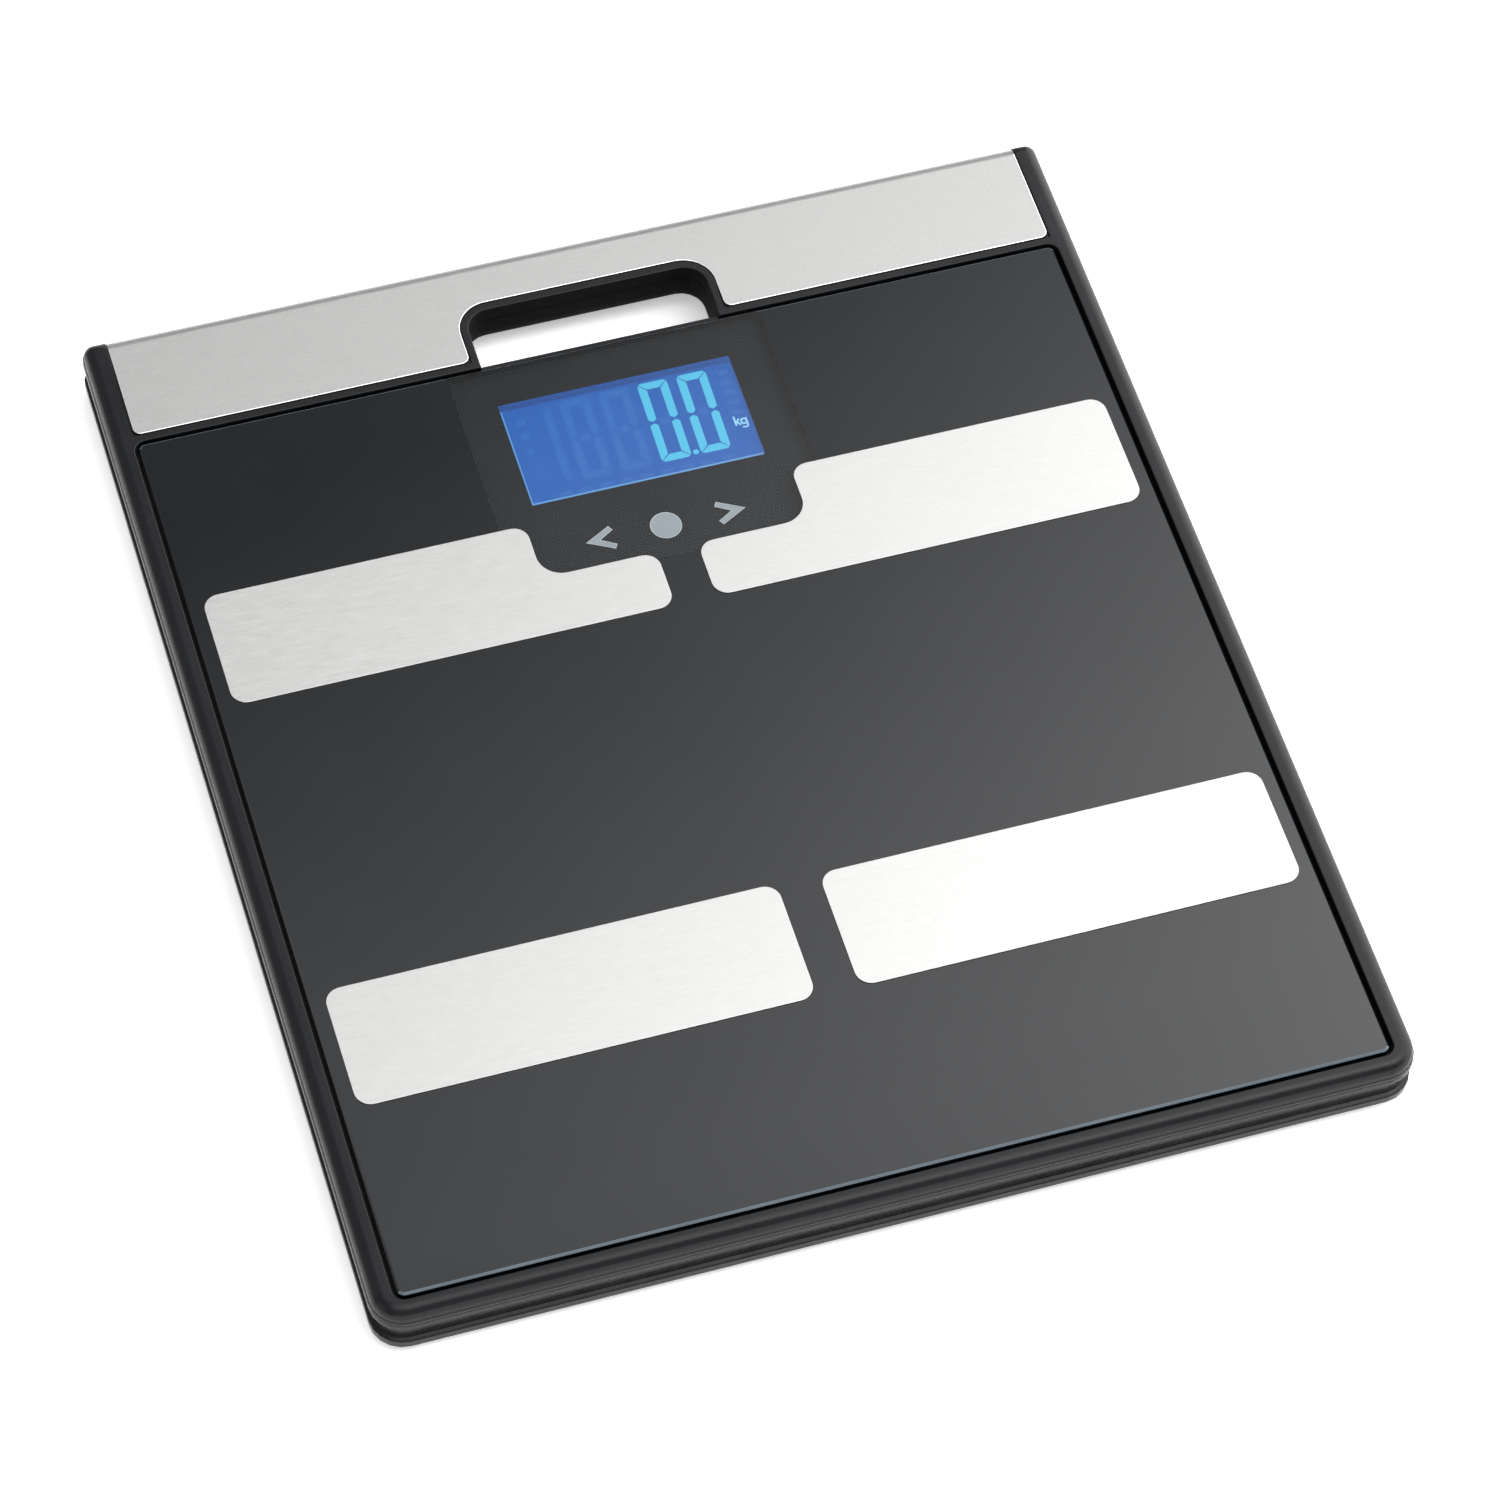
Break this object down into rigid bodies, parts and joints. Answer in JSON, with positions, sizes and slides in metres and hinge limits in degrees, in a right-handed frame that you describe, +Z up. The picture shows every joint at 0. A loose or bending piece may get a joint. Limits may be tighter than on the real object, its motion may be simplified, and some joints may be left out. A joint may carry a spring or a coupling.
{
  "type": "digital bathroom scale",
  "caption": "Slim body-analysis bathroom scale: glass platform with steel electrodes, backlit display and touch keys in a black casing with a steel-trimmed carrying handle.",
  "frame": {"origin": "on the floor, under the middle of the casing", "axes": "+X to the user's right, +Y towards the carrying handle and display, +Z up"},
  "size_m": [0.3164, 0.362, 0.0221],
  "materials": {
    "casing": "fine satin texture, moulded",
    "glass": "clear tempered float glass, polished chamfer",
    "back_print": "black ceramic ink fired on the back of the glass",
    "foam": "closed-cell foam tape",
    "trim_steel": "fine brushed along the width, satin",
    "electrode_steel": "bright brushed along the width",
    "label": "blank silver-grey label",
    "key_print": "silver-grey print behind the glass",
    "coin_cell": "nickel-plated",
    "black_cable": "PVC insulation",
    "red_cable": "PVC insulation",
    "white_cable": "PVC insulation",
    "white_plastic": "moulded",
    "grey_plastic": "moulded",
    "display": "backlit liquid crystal panel",
    "contact_metal": "plated spring bronze",
    "circuit_board": "green solder mask",
    "chip": "moulded epoxy",
    "foot_plastic": "moulded",
    "rubber": "matte anti-slip rubber",
    "cell_steel": "stamped, dull nickel plate",
    "screw_steel": "black oxide"
  },
  "bodies": {
    "casing": {"upper_frame": "casing", "lower_shell": "casing", "glass_platform": "glass", "back_print": "back_print", "glass_gasket": "foam", "trim_tape": "foam", "handle_trim": "trim_steel", "electrode_near_left": "electrode_steel", "electrode_near_right": "electrode_steel", "electrode_far_left": "electrode_steel", "electrode_far_right": "electrode_steel", "blank_label": "label", "key_arrow_left": "key_print", "key_arrow_right": "key_print", "key_dot": "key_print", "coin_cell_left": "coin_cell", "coin_cell_right": "coin_cell", "battery_lead_left": "black_cable", "battery_lead_right": "red_cable", "cell_plug_left": "white_plastic", "cell_plug_right": "white_plastic", "ribbon_connector": "white_plastic", "lcd_bezel": "white_plastic", "lcd_backlight": "white_plastic", "lcd_tray": "grey_plastic", "lcd_panel": "display", "lcd_ribbon": "contact_metal", "contact_top": "contact_metal", "contact_side": "contact_metal", "main_board": "circuit_board", "sensor_board": "circuit_board", "controller_chip": "chip", "sensor_header": "chip", "unit_switch": "chip", "load_cell_front_left": "cell_steel", "cell_cable_front_left": "white_cable", "load_cell_front_right": "cell_steel", "cell_cable_front_right": "white_cable", "load_cell_back_left": "cell_steel", "cell_cable_back_left": "white_cable", "load_cell_back_right": "cell_steel", "cell_cable_back_right": "white_cable", "case_screw_1": "screw_steel", "case_screw_2": "screw_steel", "case_screw_3": "screw_steel", "case_screw_4": "screw_steel", "case_screw_5": "screw_steel", "case_screw_6": "screw_steel", "case_screw_7": "screw_steel", "case_screw_8": "screw_steel"},
    "foot_front_left": {"foot_cup_front_left": "foot_plastic", "foot_pad_front_left": "rubber"},
    "foot_front_right": {"foot_cup_front_right": "foot_plastic", "foot_pad_front_right": "rubber"},
    "foot_back_left": {"foot_cup_back_left": "foot_plastic", "foot_pad_back_left": "rubber"},
    "foot_back_right": {"foot_cup_back_right": "foot_plastic", "foot_pad_back_right": "rubber"},
    "battery_door": {"battery_door": "casing"},
    "unit_button": {"unit_button": "grey_plastic"}
  },
  "joints": [
    {"name": "foot_travel_front_left", "type": "slide", "parent": "casing", "child": "foot_front_left", "axis": [0, 0, 1], "range_m": [0, 0.0006], "stiffness_N_per_m": 2000, "springref_m": -0.005},
    {"name": "foot_travel_front_right", "type": "slide", "parent": "casing", "child": "foot_front_right", "axis": [0, 0, 1], "range_m": [0, 0.0006], "stiffness_N_per_m": 2000, "springref_m": -0.005},
    {"name": "foot_travel_back_left", "type": "slide", "parent": "casing", "child": "foot_back_left", "axis": [0, 0, 1], "range_m": [0, 0.0006], "stiffness_N_per_m": 2000, "springref_m": -0.005},
    {"name": "foot_travel_back_right", "type": "slide", "parent": "casing", "child": "foot_back_right", "axis": [0, 0, 1], "range_m": [0, 0.0006], "stiffness_N_per_m": 2000, "springref_m": -0.005},
    {"name": "battery_door_hinge", "type": "hinge", "parent": "casing", "child": "battery_door", "pos_m": [0, -0.0092, 0.0036], "axis": [1, 0, 0], "range_deg": [0, 75]},
    {"name": "unit_button_press", "type": "slide", "parent": "casing", "child": "unit_button", "axis": [0, 0, 1], "range_m": [0, 0.0005], "stiffness_N_per_m": 1500, "springref_m": -0.0004}
  ]
}
